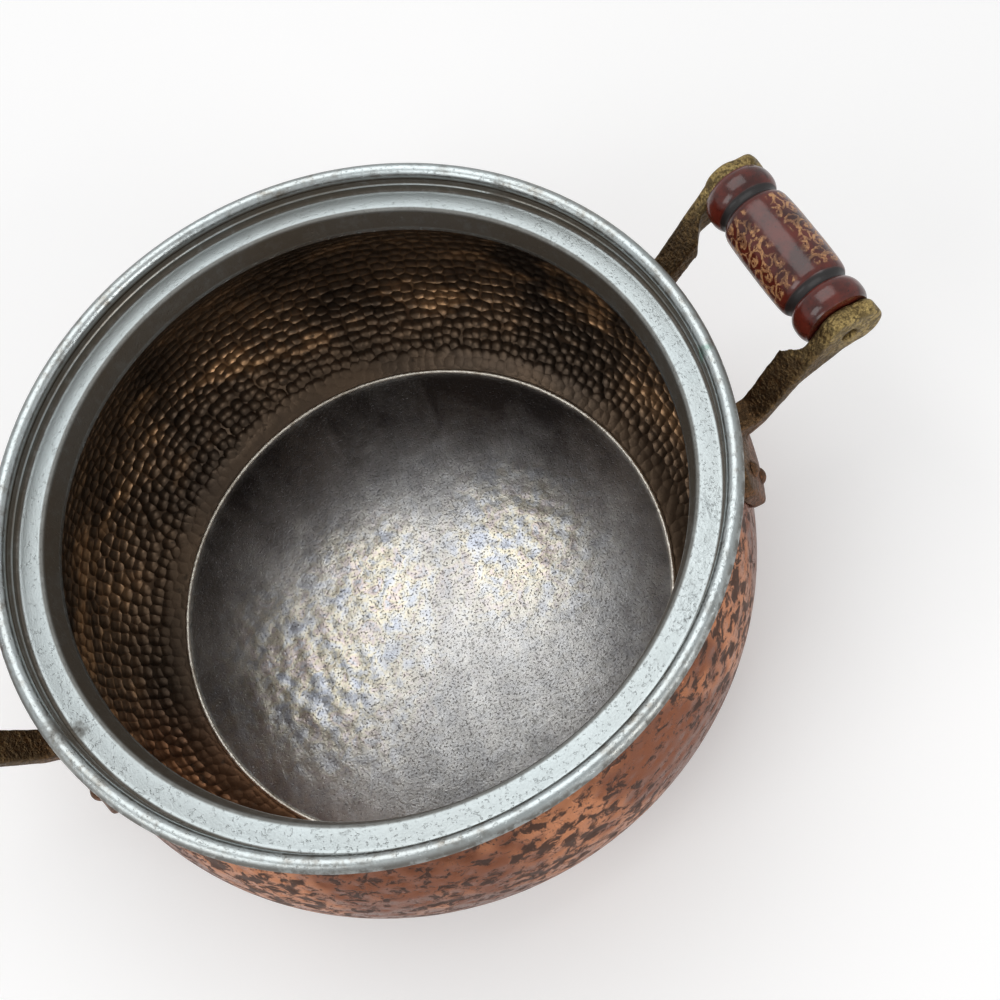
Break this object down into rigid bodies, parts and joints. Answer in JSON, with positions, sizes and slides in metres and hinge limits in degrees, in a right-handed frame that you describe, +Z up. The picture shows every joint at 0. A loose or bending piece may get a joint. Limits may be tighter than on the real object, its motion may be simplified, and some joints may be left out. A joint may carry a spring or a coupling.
{
  "type": "stockpot",
  "caption": "Round-bellied hammered copper pot with a stepped tinned rim for a lid and a turned wooden grip on cast brass arms at each side.",
  "frame": {"origin": "middle of the base, on the surface that the pot stands on", "axes": "+Z up through the mouth, +X towards the right handle, -Y the front"},
  "size_m": [0.2988, 0.2252, 0.1081],
  "materials": {
    "copper": null,
    "tinned_floor": "smeared tinning",
    "solder": "grainy solder",
    "tinned_rim": "worn tinned sheet",
    "wire": "plain",
    "cast_brass": "rough cast, brown patina",
    "rivet_brass": "olive patina",
    "rod_steel": "dulled",
    "lacquered_wood": "dark red lacquer with a painted scroll ornament"
  },
  "bodies": {
    "pot": {"pot_body": "copper", "base_disc": "tinned_floor", "seam_ring": "solder", "rim_ring": "tinned_rim", "rim_wire": "wire", "right_front_arm": "cast_brass", "right_back_arm": "cast_brass", "left_front_arm": "cast_brass", "left_back_arm": "cast_brass", "right_rod": "rod_steel", "left_rod": "rod_steel", "right_front_rivet_upper": "rivet_brass", "right_front_rivet_lower": "rivet_brass", "right_back_rivet_upper": "rivet_brass", "right_back_rivet_lower": "rivet_brass", "left_front_rivet_upper": "rivet_brass", "left_front_rivet_lower": "rivet_brass", "left_back_rivet_upper": "rivet_brass", "left_back_rivet_lower": "rivet_brass"},
    "right_grip_body": {"right_grip": "lacquered_wood"},
    "left_grip_body": {"left_grip": "lacquered_wood"}
  },
  "joints": [
    {"name": "right_grip_spin", "type": "hinge", "parent": "pot", "child": "right_grip_body", "pos_m": [0.13716, 0.00623, 0.0974], "axis": [-0.0454, 0.999, 0], "continuous": true},
    {"name": "left_grip_spin", "type": "hinge", "parent": "pot", "child": "left_grip_body", "pos_m": [-0.13716, 0.00623, 0.0974], "axis": [-0.0454, -0.999, 0], "continuous": true}
  ]
}
